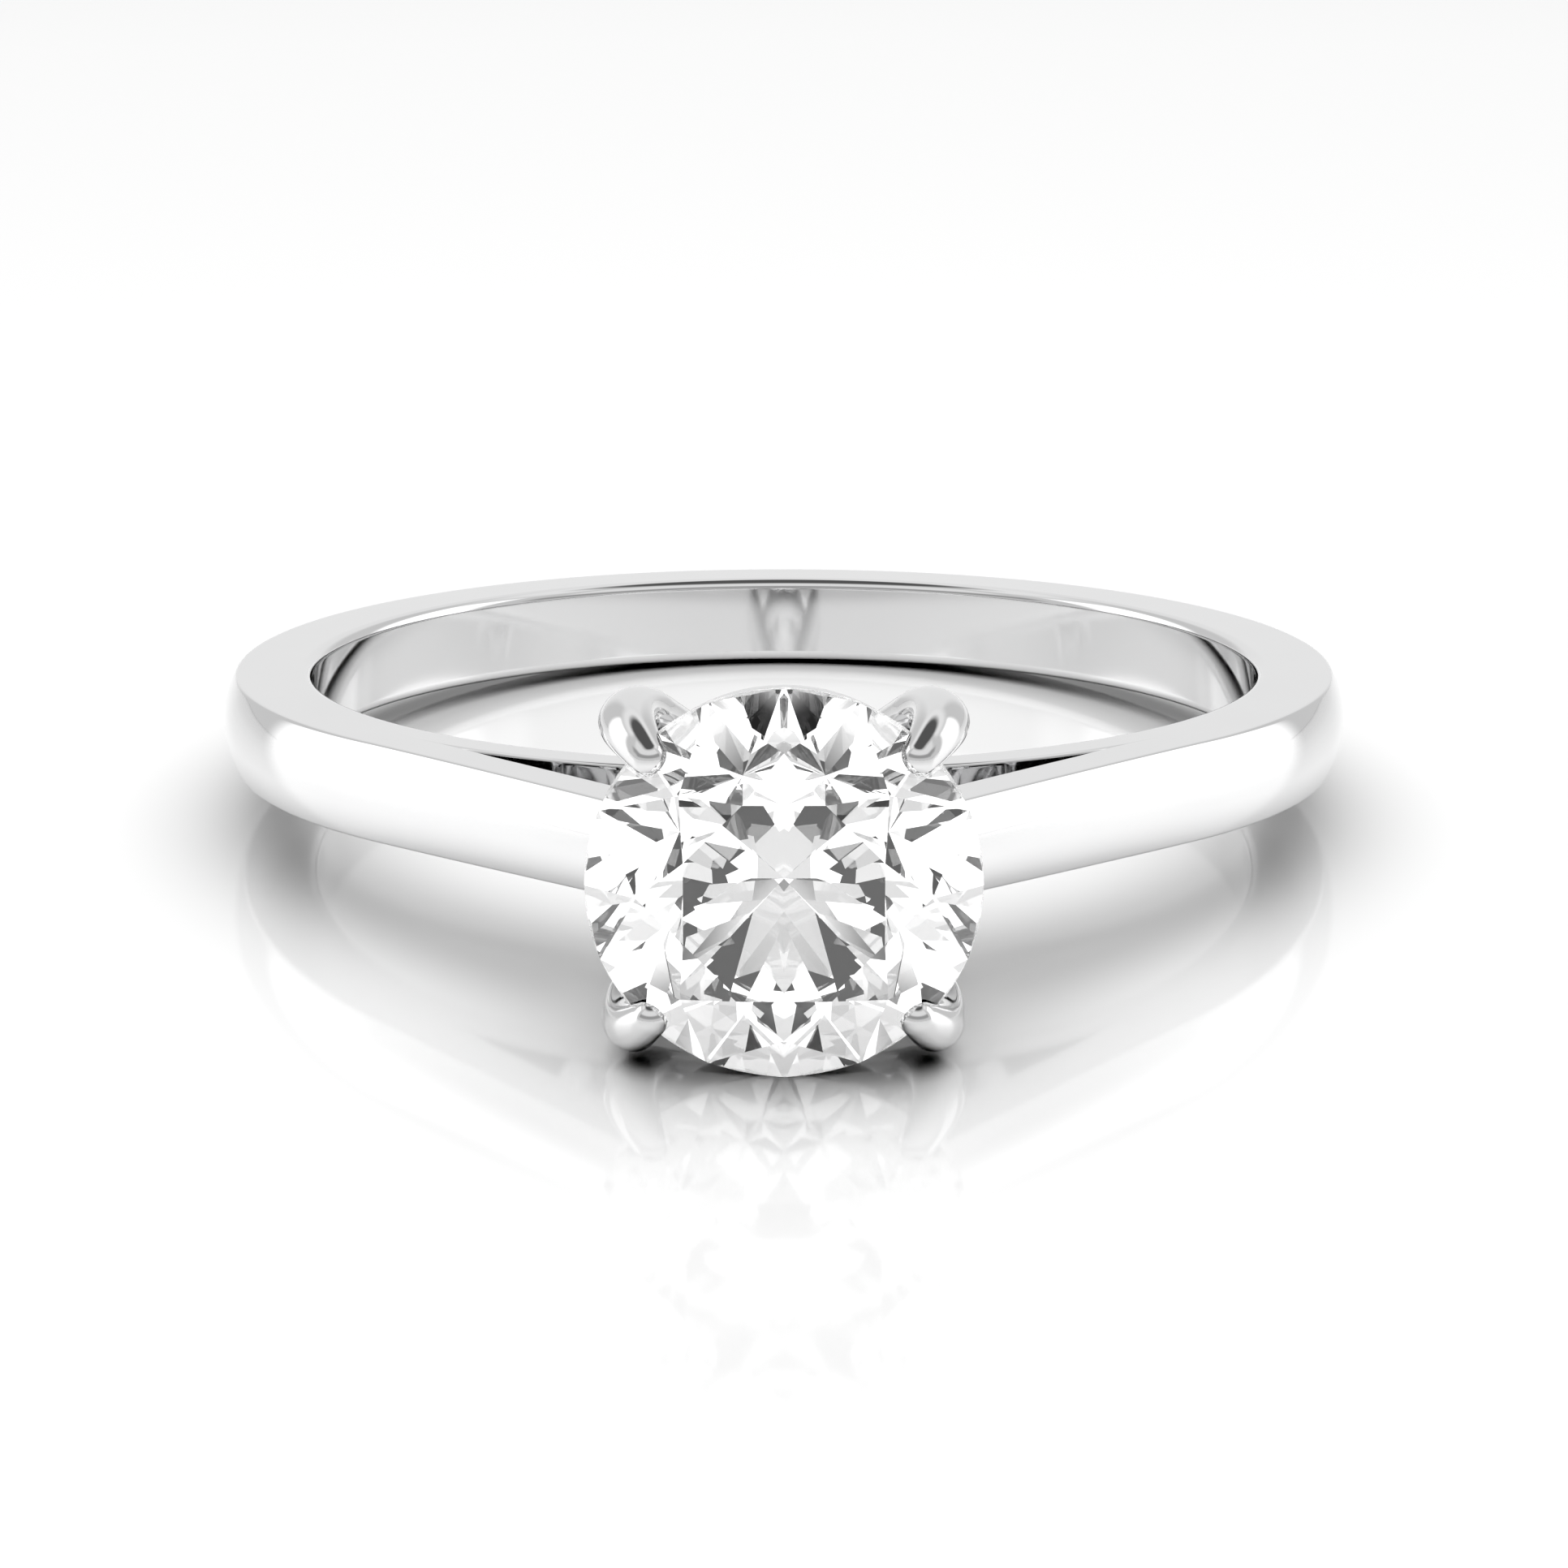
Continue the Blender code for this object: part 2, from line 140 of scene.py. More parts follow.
# Mesh fineness. Points on the same step of the weld grid, so many to the metre, are one. A support row
# runs SUPPORT inside an edge round and keeps the flat beside it flat.
WELD_GRID = 1e9
SUPPORT = 0.015 * MM
OUTER_ROUND_STEPS = 8
BORE_ROUND_STEPS = 12
DOME_STEPS = 32
SHANK_STEP = math.radians(1.0)
SHANK_END_STEP = math.radians(0.05)
SHOULDER_STEPS = 90
SHOULDER_END_STEP = 0.0005
SHOULDER_ROUND_STEPS = 5
GALLERY_STEPS = 160
GALLERY_SIDES = 32
CLAW_SIDES = 40
CLAW_LEG_STEPS = 24
CLAW_BEND_STEPS = 36
CLAW_TIP_STEPS = 12
SEAT_SIDES = 96


# ---------------------------------------------------------------- meshes

def arc(centre, radius, start, end, steps):
    """Points along an arc between two angles in radians, both ends included."""
    points = []
    for step in range(steps + 1):
        angle = start + (end - start) * step / steps
        points.append((centre[0] + radius * math.cos(angle), centre[1] + radius * math.sin(angle)))
    return points


class Skin:
    """A mesh built from points that are shared wherever they coincide."""

    def __init__(self):
        self.bm = bmesh.new()
        self.known = {}

    def vert(self, point):
        key = tuple(round(c * WELD_GRID) for c in point)
        if key not in self.known:
            self.known[key] = self.bm.verts.new(point)
        return self.known[key]

    def face(self, points):
        corners = list(dict.fromkeys(self.vert(p) for p in points))
        if len(corners) > 2:
            self.bm.faces.new(corners)

    def rings(self, rings, closed=False):
        """Skin neighbouring rings of points; open rows of rings are capped."""
        pairs = list(zip(rings, rings[1:]))
        if closed:
            pairs.append((rings[-1], rings[0]))
        for first, second in pairs:
            count = len(first)
            for i in range(count):
                j = (i + 1) % count
                self.face((first[i], first[j], second[j], second[i]))
        if not closed:
            self.face(rings[0])
            self.face(rings[-1])

    def mesh(self, name):
        bmesh.ops.recalc_face_normals(self.bm, faces=self.bm.faces)
        mesh = bpy.data.meshes.new(name)
        self.bm.to_mesh(mesh)
        self.bm.free()
        return mesh


def add_piece(name, mesh, matrix, material, sharp_angle=METAL_SHARP_ANGLE):
    ob = bpy.data.objects.new(name, mesh)
    bpy.context.collection.objects.link(ob)
    ob.matrix_world = matrix
    mesh.materials.append(material)
    mesh.shade_smooth()
    mesh.set_sharp_from_angle(angle=sharp_angle)
    return ob


def stand_for(ob, node):
    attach(ob, "root")
    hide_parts(node)


def domed_side():
    """Outer side of the band, bottom to top: edge rounds that run smoothly into a shallow dome."""
    half = BAND_HALF_WIDTH
    small = OUTER_EDGE_ROUND
    flat = half - small
    dome_radius = (flat ** 2 + BAND_DOME ** 2) / (2.0 * BAND_DOME)
    dome_centre = BAND_OUTER_RADIUS + BAND_DOME - dome_radius
    meet = math.asin(flat / (dome_radius - small))
    corner = dome_centre + (dome_radius - small) * math.cos(meet)
    lower = arc((corner, -flat), small, -RIGHT_ANGLE, -meet, OUTER_ROUND_STEPS)
    dome = arc((dome_centre, 0.0), dome_radius, -meet, meet, DOME_STEPS)[1:-1]
    upper = arc((corner, flat), small, meet, RIGHT_ANGLE, OUTER_ROUND_STEPS)
    return lower + dome + upper


def rail_side(count):
    """Outer side of the finger rail with as many points as the band's."""
    half = BAND_HALF_WIDTH
    small = RAIL_EDGE_ROUND
    centre = RAIL_OUTER_RADIUS - small
    lower = arc((centre, small - half), small, -RIGHT_ANGLE, 0.0, OUTER_ROUND_STEPS)
    upper = arc((centre, half - small), small, 0.0, RIGHT_ANGLE, OUTER_ROUND_STEPS)
    between = count - len(lower) - len(upper)
    span = 2.0 * (half - small)
    middle = [(RAIL_OUTER_RADIUS, small - half + span * (i + 1) / (between + 1)) for i in range(between)]
    return lower + middle + upper


def bore_side():
    """Inner outline, top to bottom, with support points that keep the flat faces flat."""
    half = BAND_HALF_WIDTH
    soft = BORE_EDGE_ROUND
    side = RAIL_OUTER_RADIUS - RAIL_EDGE_ROUND
    centre = BORE_RADIUS + soft
    upper = arc((centre, half - soft), soft, RIGHT_ANGLE, 2.0 * RIGHT_ANGLE, BORE_ROUND_STEPS)
    lower = arc((centre, soft - half), soft, 2.0 * RIGHT_ANGLE, 3.0 * RIGHT_ANGLE, BORE_ROUND_STEPS)
    return ([(side, half), (side - SUPPORT, half), (centre + SUPPORT, half)] + upper
            + [(BORE_RADIUS, half - soft - SUPPORT), (BORE_RADIUS, soft + SUPPORT - half)] + lower
            + [(centre + SUPPORT, -half), (side - SUPPORT, -half), (side, -half)])


def even_steps(start, end, step, end_step):
    """Values from start to end with a very short first and last step, for true end normals."""
    inner_start = start + end_step
    inner_end = end - end_step
    count = max(1, round((inner_end - inner_start) / step))
    inside = [inner_start + (inner_end - inner_start) * i / count for i in range(count + 1)]
    return [start] + inside + [end]


def on_split(radius, height, angle):
    """A point of the finger rail or bore where the plane that ends the band cuts it."""
    direction = Vector((math.cos(angle), math.sin(angle), 0.0))
    centre = Vector((0.0, -BAND_OUTER_SHIFT, 0.0))
    aside = centre - direction * centre.dot(direction)
    point = aside + direction * math.sqrt(radius ** 2 - aside.length_squared)
    return (point.x, point.y, height)


def make_shank(metal):
    """Band and finger rail: one closed ring whose section steps at the two splits."""
    outer = domed_side()
    # support points on the flat sides, just inside the edge rounds
    first, last = outer[0], outer[-1]
    outer = [(first[0] - SUPPORT, first[1])] + outer + [(last[0] - SUPPORT, last[1])]
    rail = rail_side(len(outer))
    bore = bore_side()
    split_right = -RIGHT_ANGLE + SPLIT_HALF_ANGLE
    split_left = -RIGHT_ANGLE - SPLIT_HALF_ANGLE
    band_angles = even_steps(split_right, split_left + 2.0 * math.pi, SHANK_STEP, SHANK_END_STEP)
    rail_angles = even_steps(split_left + SPLIT_LEAN, split_right - SPLIT_LEAN, SHANK_STEP, SHANK_END_STEP)
    rings = []
    for angle in band_angles:
        c, s = math.cos(angle), math.sin(angle)
        ring = [(r * c, r * s - BAND_OUTER_SHIFT, z) for r, z in outer]
        if angle in (band_angles[0], band_angles[-1]):
            rings.append(ring + [on_split(r, z, angle) for r, z in bore])
        else:
            rings.append(ring + [(r * c, r * s, z) for r, z in bore])
    rings.append([on_split(r, z, split_left) for r, z in rail + bore])
    for angle in rail_angles:
        c, s = math.cos(angle), math.sin(angle)
        rings.append([(r * c, r * s, z) for r, z in rail + bore])
    rings.append([on_split(r, z, split_right) for r, z in rail + bore])
    skin = Skin()
    skin.rings(rings, closed=True)
    ob = add_piece("shank_metal", skin.mesh("shank_metal"), RING, metal)
    stand_for(ob, "shank")
    return ob


def make_shoulder(side_name, side, metal):
    """Cathedral shoulder: the band's domed outer part, carried on straight along its tangent."""
    c, s = math.cos(SPLIT_HALF_ANGLE), math.sin(SPLIT_HALF_ANGLE)
    outward = Vector((side * s, -c, 0.0))
    forward = Vector((-side * c, -s, 0.0))
    centre = Vector((0.0, -BAND_OUTER_SHIFT, 0.0))
    outer = domed_side()
    under_plain = BAND_OUTER_RADIUS - SHOULDER_THICKNESS
    seat = RAIL_OUTER_RADIUS - RAIL_EDGE_ROUND
    half = BAND_HALF_WIDTH
    rings = []
    for t in even_steps(0.0, 1.0, 1.0 / SHOULDER_STEPS, SHOULDER_END_STEP):
        along = t * SHOULDER_LENGTH
        across = along + centre.dot(forward)
        on_rail = math.sqrt(seat ** 2 - across ** 2) - centre.dot(outward)
        under = max(under_plain, on_rail)
        free = min(1.0, max(0.0, (along - SHOULDER_FREE_START) / SHOULDER_FREE_BLEND))
        small = SHOULDER_EDGE_ROUND * free
        top_corner = arc((under + small, half - small), small, RIGHT_ANGLE, 2.0 * RIGHT_ANGLE,
                         SHOULDER_ROUND_STEPS)
        low_corner = arc((under + small, small - half), small, 2.0 * RIGHT_ANGLE, 3.0 * RIGHT_ANGLE,
                         SHOULDER_ROUND_STEPS)
        section = ([(outer[0][0] - SUPPORT, -half)] + outer + [(outer[-1][0] - SUPPORT, half)]
                   + [(under + small + SUPPORT, half)] + top_corner
                   + [(under, half - small - SUPPORT), (under, small + SUPPORT - half)] + low_corner
                   + [(under + small + SUPPORT, -half)])
        width = 1.0 - SHOULDER_TAPER / half * t ** SHOULDER_TAPER_POWER
        base = centre + forward * along
        rings.append([base + outward * r + Vector((0.0, 0.0, z * width)) for r, z in section])
    skin = Skin()
    skin.rings(rings)
    name = "shoulder_" + side_name
    ob = add_piece(name + "_metal", skin.mesh(name), RING, metal)
    stand_for(ob, name)
    return ob


def make_gallery_rail(metal):
    """Round bearer wire under the girdle."""
    rings = []
    for i in range(GALLERY_STEPS):
        angle = 2.0 * math.pi * i / GALLERY_STEPS
        c, s = math.cos(angle), math.sin(angle)
        points = arc((GALLERY_RADIUS, GALLERY_HEIGHT), GALLERY_WIRE_RADIUS, 0.0, 2.0 * math.pi, GALLERY_SIDES)
        rings.append([(r * c, r * s, h) for r, h in points[:-1]])
    skin = Skin()
    skin.rings(rings, closed=True)
    ob = add_piece("gallery_rail_metal", skin.mesh("gallery_rail"), HEAD, metal)
    stand_for(ob, "gallery_rail")
    return ob


# ---------------------------------------------------------------- claws

def claw_path():
    """Centreline of a claw: (radius, height, direction of travel, wire radius, width factor)."""
    bend_centre = (CLAW_REACH - CLAW_BEND_RADIUS, CLAW_BEND_HEIGHT)
    start = arc(bend_centre, CLAW_BEND_RADIUS, CLAW_BEND_START, CLAW_BEND_END, 1)[0]
    foot = (CLAW_FOOT_RADIUS, CLAW_FOOT_HEIGHT)
    leg_direction = math.atan2(start[1] - foot[1], start[0] - foot[0])
    path = []
    for i in range(CLAW_LEG_STEPS):
        t = i / CLAW_LEG_STEPS
        wire = CLAW_FOOT_WIRE_RADIUS + (CLAW_WIRE_RADIUS - CLAW_FOOT_WIRE_RADIUS) * t
        path.append((foot[0] + (start[0] - foot[0]) * t, foot[1] + (start[1] - foot[1]) * t,
                     leg_direction, wire, CLAW_LEG_WIDTH))
    for i in range(CLAW_BEND_STEPS + 1):
        t = i / CLAW_BEND_STEPS
        angle = CLAW_BEND_START + (CLAW_BEND_END - CLAW_BEND_START) * t
        wire = CLAW_WIRE_RADIUS + (CLAW_TIP_RADIUS - CLAW_WIRE_RADIUS) * t ** 2
        path.append((bend_centre[0] + CLAW_BEND_RADIUS * math.cos(angle),
                     bend_centre[1] + CLAW_BEND_RADIUS * math.sin(angle),
                     angle + RIGHT_ANGLE, wire, CLAW_LEG_WIDTH + (1.0 - CLAW_LEG_WIDTH) * t))
    end = path[-1]
    for i in range(1, CLAW_TIP_STEPS + 1):
        turn = RIGHT_ANGLE * i / CLAW_TIP_STEPS
        reach = CLAW_TIP_RADIUS * math.sin(turn)
        path.append((end[0] + reach * math.cos(end[2]), end[1] + reach * math.sin(end[2]),
                     end[2], CLAW_TIP_RADIUS * math.cos(turn), 1.0))
    return path


def claw_mesh(name):
    """Round tapered wire with a rounded tip, along the claw's path in the XZ plane."""
    rings = []
    for radius, height, direction, wire, width in claw_path():
        across = Vector((math.sin(direction), 0.0, -math.cos(direction)))
        ring = []
        for i in range(CLAW_SIDES):
            angle = 2.0 * math.pi * i / CLAW_SIDES
            offset = across * wire * math.cos(angle) + Vector((0.0, wire * width * math.sin(angle), 0.0))
            ring.append(Vector((radius, 0.0, height)) + offset)
        rings.append(ring)
    skin = Skin()
    skin.rings(rings)
    return skin.mesh(name)


def seat_cutter():
    """Solid of revolution round the stone, a hair larger than it."""
    rim = STONE_RADIUS + SEAT_GAP
    bottom = -GIRDLE_THICKNESS - SEAT_GAP
    profile = [(0.0, CROWN_HEIGHT + SEAT_GAP), (TABLE_RADIUS + SEAT_GAP, CROWN_HEIGHT + SEAT_GAP),
               (STAR_RADIUS + SEAT_GAP, STAR_HEIGHT + SEAT_GAP), (rim, SEAT_GAP), (rim, bottom),
               (0.0, bottom - rim * math.tan(PAVILION_ANGLE))]
    rings = []
    for i in range(SEAT_SIDES):
        angle = 2.0 * math.pi * (i + 0.5) / SEAT_SIDES
        rings.append([(r * math.cos(angle), r * math.sin(angle), z) for r, z in profile])
    skin = Skin()
    for first, second in zip(rings, rings[1:] + rings[:1]):
        for i in range(len(profile) - 1):
            skin.face((first[i], first[i + 1], second[i + 1], second[i]))
    cutter = bpy.data.objects.new("seat_cutter", skin.mesh("seat_cutter"))
    bpy.context.collection.objects.link(cutter)
    cutter.matrix_world = HEAD @ Matrix.Translation((0.0, 0.0, GIRDLE_TOP_HEIGHT))
    return cutter


def make_claws(metal):
    """Four claws, each cut to its seat on the stone."""
    cutter = seat_cutter()
    for name, degrees in CLAWS.items():
        matrix = HEAD @ Matrix.Rotation(math.radians(degrees), 4, "Z")
        ob = add_piece(name + "_metal", claw_mesh(name), matrix, metal)
        seat = ob.modifiers.new("seat", "BOOLEAN")
        seat.operation = "DIFFERENCE"
        seat.solver = "EXACT"
        seat.object = cutter
        bpy.context.view_layer.update()
        evaluated = ob.evaluated_get(bpy.context.evaluated_depsgraph_get())
        finished = bpy.data.meshes.new_from_object(evaluated)
        ob.modifiers.clear()
        ob.data = finished
        finished.name = name + "_metal"
        finished.shade_smooth()
        finished.set_sharp_from_angle(angle=METAL_SHARP_ANGLE)
        stand_for(ob, name)
    bpy.data.objects.remove(cutter, do_unlink=True)


# ---------------------------------------------------------------- stone

def girdle_point(angle, height):
    """A point on the stone's rim."""
    return Vector((STONE_RADIUS * math.cos(angle), STONE_RADIUS * math.sin(angle), height))


def scallop(plane_points, start, end, steps):
    """Rim points between two angles, at the height where a facet's plane meets the rim."""
    origin, second, third = plane_points
    normal = (second - origin).cross(third - origin)
    points = []
    for step in range(1, steps):
        angle = start + (end - start) * step / steps
        rim = girdle_point(angle, 0.0)
        drop = normal.x * (rim.x - origin.x) + normal.y * (rim.y - origin.y)
        points.append(girdle_point(angle, origin.z - drop / normal.z))
    return points


def stone_mesh():
    """Round brilliant with its girdle's top edge at Z = 0 and its table facing +Z."""
    culet = Vector((0.0, 0.0, -GIRDLE_THICKNESS - STONE_RADIUS * math.tan(PAVILION_ANGLE)))
    half_radius = STONE_RADIUS * (1.0 - LOWER_HALF_LENGTH)
    half_height = culet.z + half_radius * math.cos(EIGHTH / 2.0) * math.tan(PAVILION_ANGLE)

    def level_point(radius, angle, height):
        return Vector((radius * math.cos(angle), radius * math.sin(angle), height))

    skin = Skin()
    skin.face([level_point(TABLE_RADIUS, (k + 0.5) * EIGHTH, CROWN_HEIGHT) for k in range(MAIN_FACETS)])
    upper_rim = []
    lower_rim = []
    for k in range(MAIN_FACETS):
        middle = k * EIGHTH
        before = middle - EIGHTH / 2.0
        after = middle + EIGHTH / 2.0
        star = level_point(STAR_RADIUS, middle, STAR_HEIGHT)
        corner_before = level_point(TABLE_RADIUS, before, CROWN_HEIGHT)
        corner_after = level_point(TABLE_RADIUS, after, CROWN_HEIGHT)
        next_star = level_point(STAR_RADIUS, middle + EIGHTH, STAR_HEIGHT)
        low = level_point(half_radius, middle, half_height)
        next_low = level_point(half_radius, middle + EIGHTH, half_height)
        skin.face([corner_before, star, corner_after])
        skin.face([corner_after, star, girdle_point(after, 0.0), next_star])
        skin.face([culet, next_low, girdle_point(after, -GIRDLE_THICKNESS), low])
        for first, last in ((before, middle), (middle, after)):
            top_ends = [girdle_point(first, 0.0), girdle_point(last, 0.0)]
            top = scallop((star, *top_ends), first, last, GIRDLE_STEPS_PER_HALF)
            skin.face([star, top_ends[0], *top, top_ends[1]])
            upper_rim += [top_ends[0], *top]
            low_ends = [girdle_point(first, -GIRDLE_THICKNESS), girdle_point(last, -GIRDLE_THICKNESS)]
            bottom = scallop((low, *low_ends), first, last, GIRDLE_STEPS_PER_HALF)
            skin.face([low, low_ends[0], *bottom, low_ends[1]])
            lower_rim += [low_ends[0], *bottom]
    count = len(upper_rim)
    for i in range(count):
        j = (i + 1) % count
        skin.face([upper_rim[i], lower_rim[i], lower_rim[j], upper_rim[j]])
    return skin.mesh("centre_stone")


def make_stone(diamond):
    matrix = HEAD @ Matrix.Translation((0.0, 0.0, GIRDLE_TOP_HEIGHT))
    ob = add_piece("centre_stone_gem", stone_mesh(), matrix, diamond, FACET_SHARP_ANGLE)
    stand_for(ob, "centre_stone")
    return ob


# ---------------------------------------------------------------- materials

# White gold: size of the polishing haze per metre, and what it does to gloss and tone.
HAZE_SCALE = 420.0
HAZE_DETAIL = 3.0
HAZE_RANGE = (0.3, 0.7)
METAL_ROUGHNESS = (0.03, 0.07)
METAL_DARK = (0.79, 0.79, 0.795, 1.0)
METAL_LIGHT = (0.84, 0.84, 0.84, 1.0)

# Diamond: refractive index, and the ground girdle's grain, roughness and edges as shares of its height.
DIAMOND_IOR = 2.417
CLEAR = (1.0, 1.0, 1.0, 1.0)
GIRDLE_GRAIN_SCALE = 9000.0
GIRDLE_ROUGHNESS = 0.5
GIRDLE_FADE = (0.45, 0.35)

ACRYLIC = (0.80, 0.80, 0.80, 1.0)
ACRYLIC_ROUGHNESS = 0.07
ACRYLIC_IOR = 1.7


def new_material(name):
    material = bpy.data.materials.new(name)
    material.use_nodes = True
    nodes = material.node_tree.nodes
    return material, nodes, material.node_tree.links, nodes["Principled BSDF"]


def math_node(nodes, links, operation, *values):
    """A Math node fed by sockets or plain numbers; gives its result socket."""
    node = nodes.new("ShaderNodeMath")
    node.operation = operation
    for socket, value in zip(node.inputs, values):
        if isinstance(value, bpy.types.NodeSocket):
            links.new(value, socket)
        else:
            socket.default_value = value
    return node.outputs["Value"]


def blend(nodes, links, factor, first, second):
    """Mix of two sockets or plain numbers; gives its result socket."""
    mix = nodes.new("ShaderNodeMix")
    links.new(factor, mix.inputs["Factor"])
    for name, value in (("A", first), ("B", second)):
        if isinstance(value, bpy.types.NodeSocket):
            links.new(value, mix.inputs[name])
        else:
            mix.inputs[name].default_value = value
    return mix.outputs["Result"]


def white_gold_material():
    """Mirror-polished, rhodium-plated white gold with the faint haze that polishing leaves."""
    material, nodes, links, shader = new_material("white_gold")
    shader.inputs["Metallic"].default_value = 1.0
    coords = nodes.new("ShaderNodeTexCoord")
    haze = nodes.new("ShaderNodeTexNoise")
    haze.inputs["Scale"].default_value = HAZE_SCALE
    haze.inputs["Detail"].default_value = HAZE_DETAIL
    links.new(coords.outputs["Object"], haze.inputs["Vector"])
    gloss = nodes.new("ShaderNodeMapRange")
    gloss.inputs["From Min"].default_value, gloss.inputs["From Max"].default_value = HAZE_RANGE
    gloss.inputs["To Min"].default_value, gloss.inputs["To Max"].default_value = METAL_ROUGHNESS
    links.new(haze.outputs["Fac"], gloss.inputs["Value"])
    links.new(gloss.outputs["Result"], shader.inputs["Roughness"])
    tone = nodes.new("ShaderNodeMix")
    tone.data_type = "RGBA"
    tone.inputs["A"].default_value = METAL_DARK
    tone.inputs["B"].default_value = METAL_LIGHT
    links.new(haze.outputs["Fac"], tone.inputs["Factor"])
    links.new(tone.outputs["Result"], shader.inputs["Base Color"])
    return material


def diamond_material():
    """Clear colourless diamond, polished on its facets and finely ground round its girdle."""
    material, nodes, links, shader = new_material("diamond")
    shader.inputs["Transmission Weight"].default_value = 1.0
    shader.inputs["IOR"].default_value = DIAMOND_IOR
    shader.inputs["Base Color"].default_value = CLEAR
    coords = nodes.new("ShaderNodeTexCoord")
    split = nodes.new("ShaderNodeSeparateXYZ")
    links.new(coords.outputs["Object"], split.inputs["Vector"])
    height = math_node(nodes, links, "ADD", split.outputs["Z"], 0.5 * GIRDLE_THICKNESS)
    grain = nodes.new("ShaderNodeTexNoise")
    grain.inputs["Scale"].default_value = GIRDLE_GRAIN_SCALE
    links.new(coords.outputs["Object"], grain.inputs["Vector"])
    band = nodes.new("ShaderNodeMapRange")
    band.inputs["From Min"].default_value = GIRDLE_FADE[0] * GIRDLE_THICKNESS
    band.inputs["From Max"].default_value = GIRDLE_FADE[1] * GIRDLE_THICKNESS
    links.new(math_node(nodes, links, "ABSOLUTE", height), band.inputs["Value"])
    ground = math_node(nodes, links, "MULTIPLY", grain.outputs["Fac"], GIRDLE_ROUGHNESS)
    roughness = math_node(nodes, links, "MULTIPLY", band.outputs["Result"], ground)
    links.new(roughness, shader.inputs["Roughness"])
    return material


def floor_material():
    """Glossy white acrylic sheet."""
    material, nodes, links, shader = new_material("white_acrylic")
    shader.inputs["Base Color"].default_value = ACRYLIC
    shader.inputs["Roughness"].default_value = ACRYLIC_ROUGHNESS
    shader.inputs["IOR"].default_value = ACRYLIC_IOR
    return material


# ---------------------------------------------------------------- studio

FLOOR_HALF_SIZE = 1.2


def add_floor():
    mesh = bpy.data.meshes.new("floor")
    size = FLOOR_HALF_SIZE
    corners = [(-size, -size, 0.0), (size, -size, 0.0), (size, size, 0.0), (-size, size, 0.0)]
    mesh.from_pydata(corners, [], [(0, 1, 2, 3)])
    mesh.materials.append(floor_material())
    floor = bpy.data.objects.new("floor", mesh)
    bpy.context.collection.objects.link(floor)


# Soft studio light by direction, from the base outwards: azimuth is measured from the camera's side,
# the same to the left and right, and elevation from the floor, both in degrees. The metal and the
# floor mirror one set of panels; rays refracted out of the stone see another, a brighter tent.
METAL_BASE = 0.66
METAL_LAYERS = (
    # azimuth from, to, elevation from, to, softness, brightness
    (155.0, 200.0, -20.0, 50.0, 8.0, 0.88),
    (88.0, 124.0, -20.0, 42.0, 5.0, 1.55),
    (80.0, 200.0, 48.0, 100.0, 8.0, 0.92),
    (-10.0, 72.0, 11.0, 28.0, 4.0, 0.36),
    (-10.0, 66.0, 32.0, 56.0, 4.0, 0.85),
    (-10.0, 200.0, 64.0, 100.0, 6.0, 0.10),
)
STONE_BASE = 1.8
STONE_LAYERS = (
    # dark cards from the camera round to the back, the first four low and high in turn
    (-10.0, 12.0, 10.0, 26.0, 1.0, 0.0),
    (12.0, 26.0, 30.0, 46.0, 1.0, 0.0),
    (30.0, 50.0, 8.0, 24.0, 1.0, 0.0),
    (60.0, 80.0, 20.0, 44.0, 1.0, 0.0),
    (100.0, 120.0, 0.0, 20.0, 1.0, 0.0),
    (150.0, 170.0, 5.0, 25.0, 1.0, 0.0),
)
BACKGROUND_WHITE = 1.05

# Overhead soft box, in metres and watts. It whites the floor; mirror and refracted rays don't see it.
SOFT_BOX_HEIGHT = 0.30
SOFT_BOX_SIZE = 0.60
SOFT_BOX_POWER = 2.78


def soft_window(nodes, links, value, low, high, softness):
    """1 between low and high, 0 outside, with soft ends."""
    ends = []
    for start, end in ((low - softness, low + softness), (high + softness, high - softness)):
        ramp = nodes.new("ShaderNodeMapRange")
        ramp.interpolation_type = "SMOOTHSTEP"
        links.new(value, ramp.inputs["Value"])
        ramp.inputs["From Min"].default_value = start
        ramp.inputs["From Max"].default_value = end
        ends.append(ramp.outputs["Result"])
    return math_node(nodes, links, "MULTIPLY", *ends)


def panels(nodes, links, azimuth, elevation, base, layers):
    """Brightness by direction: layers of soft-edged panels over a base; gives a socket."""
    light = base
    for az_low, az_high, el_low, el_high, softness, brightness in layers:
        window = math_node(nodes, links, "MULTIPLY",
                           soft_window(nodes, links, azimuth, az_low, az_high, softness),
                           soft_window(nodes, links, elevation, el_low, el_high, softness))
        light = blend(nodes, links, window, light, brightness)
    return light


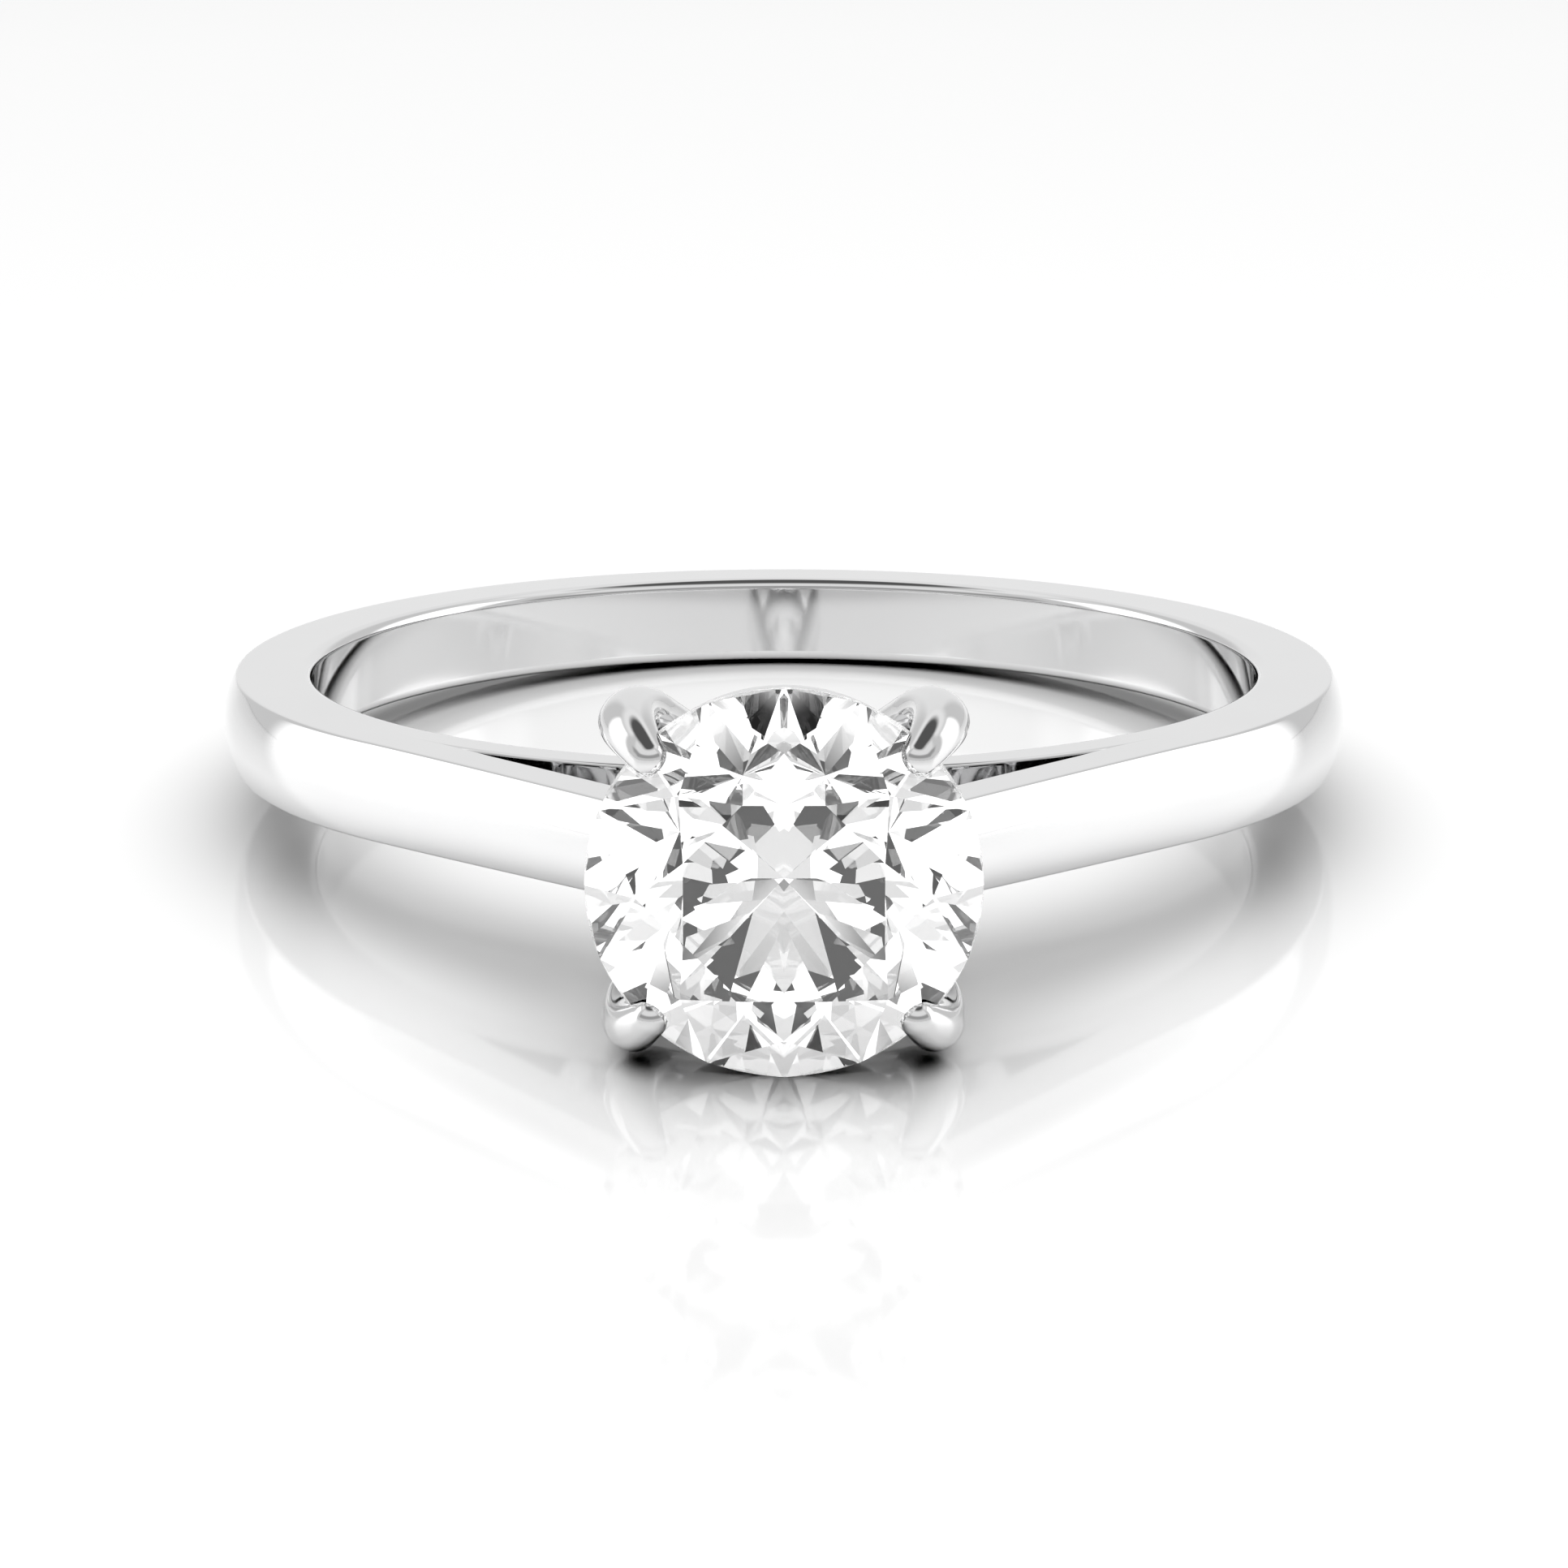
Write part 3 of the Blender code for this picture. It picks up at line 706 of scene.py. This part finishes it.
def add_world():
    """White to the camera, panels to the metal, cards to the stone; it lights no matt surface."""
    world = bpy.data.worlds.new("studio")
    bpy.context.scene.world = world
    world.use_nodes = True
    world.cycles_visibility.diffuse = False
    nodes = world.node_tree.nodes
    links = world.node_tree.links
    background = nodes["Background"]
    coords = nodes.new("ShaderNodeTexCoord")
    split = nodes.new("ShaderNodeSeparateXYZ")
    links.new(coords.outputs["Generated"], split.inputs["Vector"])
    x, y, z = split.outputs
    toward_camera = math_node(nodes, links, "MULTIPLY", y, -1.0)
    sideways = math_node(nodes, links, "ABSOLUTE", x)
    azimuth = math_node(nodes, links, "DEGREES", math_node(nodes, links, "ARCTAN2", sideways, toward_camera))
    elevation = math_node(nodes, links, "DEGREES", math_node(nodes, links, "ARCSINE", z))
    metal_light = panels(nodes, links, azimuth, elevation, METAL_BASE, METAL_LAYERS)
    stone_light = panels(nodes, links, azimuth, elevation, STONE_BASE, STONE_LAYERS)
    path = nodes.new("ShaderNodeLightPath")
    light = blend(nodes, links, path.outputs["Is Transmission Ray"], metal_light, stone_light)
    light = blend(nodes, links, path.outputs["Is Camera Ray"], light, BACKGROUND_WHITE)
    links.new(light, background.inputs["Strength"])
    background.inputs["Color"].default_value = (1.0, 1.0, 1.0, 1.0)


def add_soft_box():
    """Overhead soft box for the floor's white and the soft shadow under the ring."""
    data = bpy.data.lights.new("soft_box", "AREA")
    data.shape = "SQUARE"
    data.size = SOFT_BOX_SIZE
    data.energy = SOFT_BOX_POWER
    box = bpy.data.objects.new("soft_box", data)
    bpy.context.collection.objects.link(box)
    box.location = (0.0, 0.0, SOFT_BOX_HEIGHT)
    box.visible_camera = False
    box.visible_glossy = False
    box.visible_transmission = False


def add_camera():
    data = bpy.data.cameras.new("camera")
    data.lens = LENS
    data.sensor_width = SENSOR
    data.clip_start = CLIP_START
    data.clip_end = CLIP_END
    camera = bpy.data.objects.new("camera", data)
    bpy.context.collection.objects.link(camera)
    place = Matrix.Translation((0.0, -CAMERA_BACK, CAMERA_UP))
    camera.matrix_world = RING @ place @ Matrix.Rotation(RIGHT_ANGLE - CAMERA_PITCH, 4, "X")
    bpy.context.scene.camera = camera


white_gold = white_gold_material()
make_shank(white_gold)
make_shoulder("left", -1.0, white_gold)
make_shoulder("right", 1.0, white_gold)
make_gallery_rail(white_gold)
make_claws(white_gold)
make_stone(diamond_material())
add_floor()
add_world()
add_soft_box()
add_camera()
bpy.context.scene.view_settings.view_transform = "Standard"
light_paths = bpy.context.scene.cycles
light_paths.caustics_reflective = False
light_paths.caustics_refractive = False
light_paths.max_bounces = LIGHT_BOUNCES
light_paths.transmission_bounces = LIGHT_BOUNCES
light_paths.glossy_bounces = MIRROR_BOUNCES
